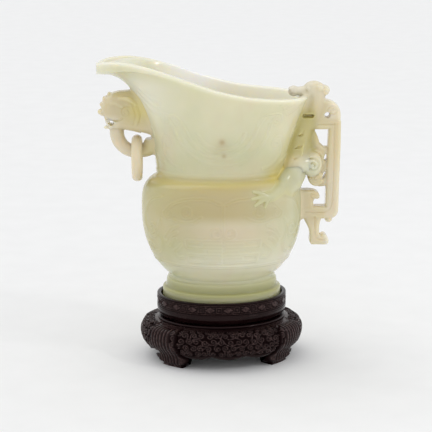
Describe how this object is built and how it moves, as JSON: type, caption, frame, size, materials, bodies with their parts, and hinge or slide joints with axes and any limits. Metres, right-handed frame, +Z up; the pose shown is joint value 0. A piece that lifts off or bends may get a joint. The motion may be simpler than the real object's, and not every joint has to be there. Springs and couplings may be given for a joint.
{
  "type": "jade pouring vessel on a wood stand",
  "caption": "Archaistic jade pouring vessel with upswept spout, beast head with loose ring, pierced dragon handle, on a carved hardwood stand that it lifts out of.",
  "frame": {"origin": "on the table, under the middle of the overall box; the axis of foot and stand lies 1.55 mm towards the handle", "axes": "+X from the spout to the handle, +Y across the vessel away from the picture's camera, +Z up"},
  "size_m": [0.1442, 0.082, 0.1807],
  "materials": {
    "jade": "pale celadon nephrite, translucent, soft waxy polish",
    "stand_wood": "dark purple-brown hardwood, carved, waxed"
  },
  "bodies": {
    "stand": {"stand_rail": "stand_wood", "stand_seat_panel": "stand_wood", "stand_waist": "stand_wood", "stand_bead": "stand_wood", "stand_apron_front": "stand_wood", "stand_apron_right": "stand_wood", "stand_apron_back": "stand_wood", "stand_apron_left": "stand_wood", "stand_leg_front_left": "stand_wood", "stand_leg_front_right": "stand_wood", "stand_leg_back_right": "stand_wood", "stand_leg_back_left": "stand_wood"},
    "vessel": {"vessel_body": "jade", "handle_frame": "jade", "dragon_head": "jade", "dragon_neck": "jade", "dragon_torso": "jade", "dragon_near_leg": "jade", "dragon_far_leg": "jade", "dragon_tail": "jade", "beast_head": "jade", "ring_loop": "jade"},
    "ring": {"loose_ring": "jade"}
  },
  "joints": [
    {"name": "vessel_lift", "type": "slide", "parent": "stand", "child": "vessel", "axis": [0, 0, 1], "range_m": [0, 0.06]},
    {"name": "ring_swing", "type": "hinge", "parent": "vessel", "child": "ring", "pos_m": [-0.04865, 0, 0.1329], "axis": [0, 1, 0], "range_deg": [-4, 75]}
  ]
}
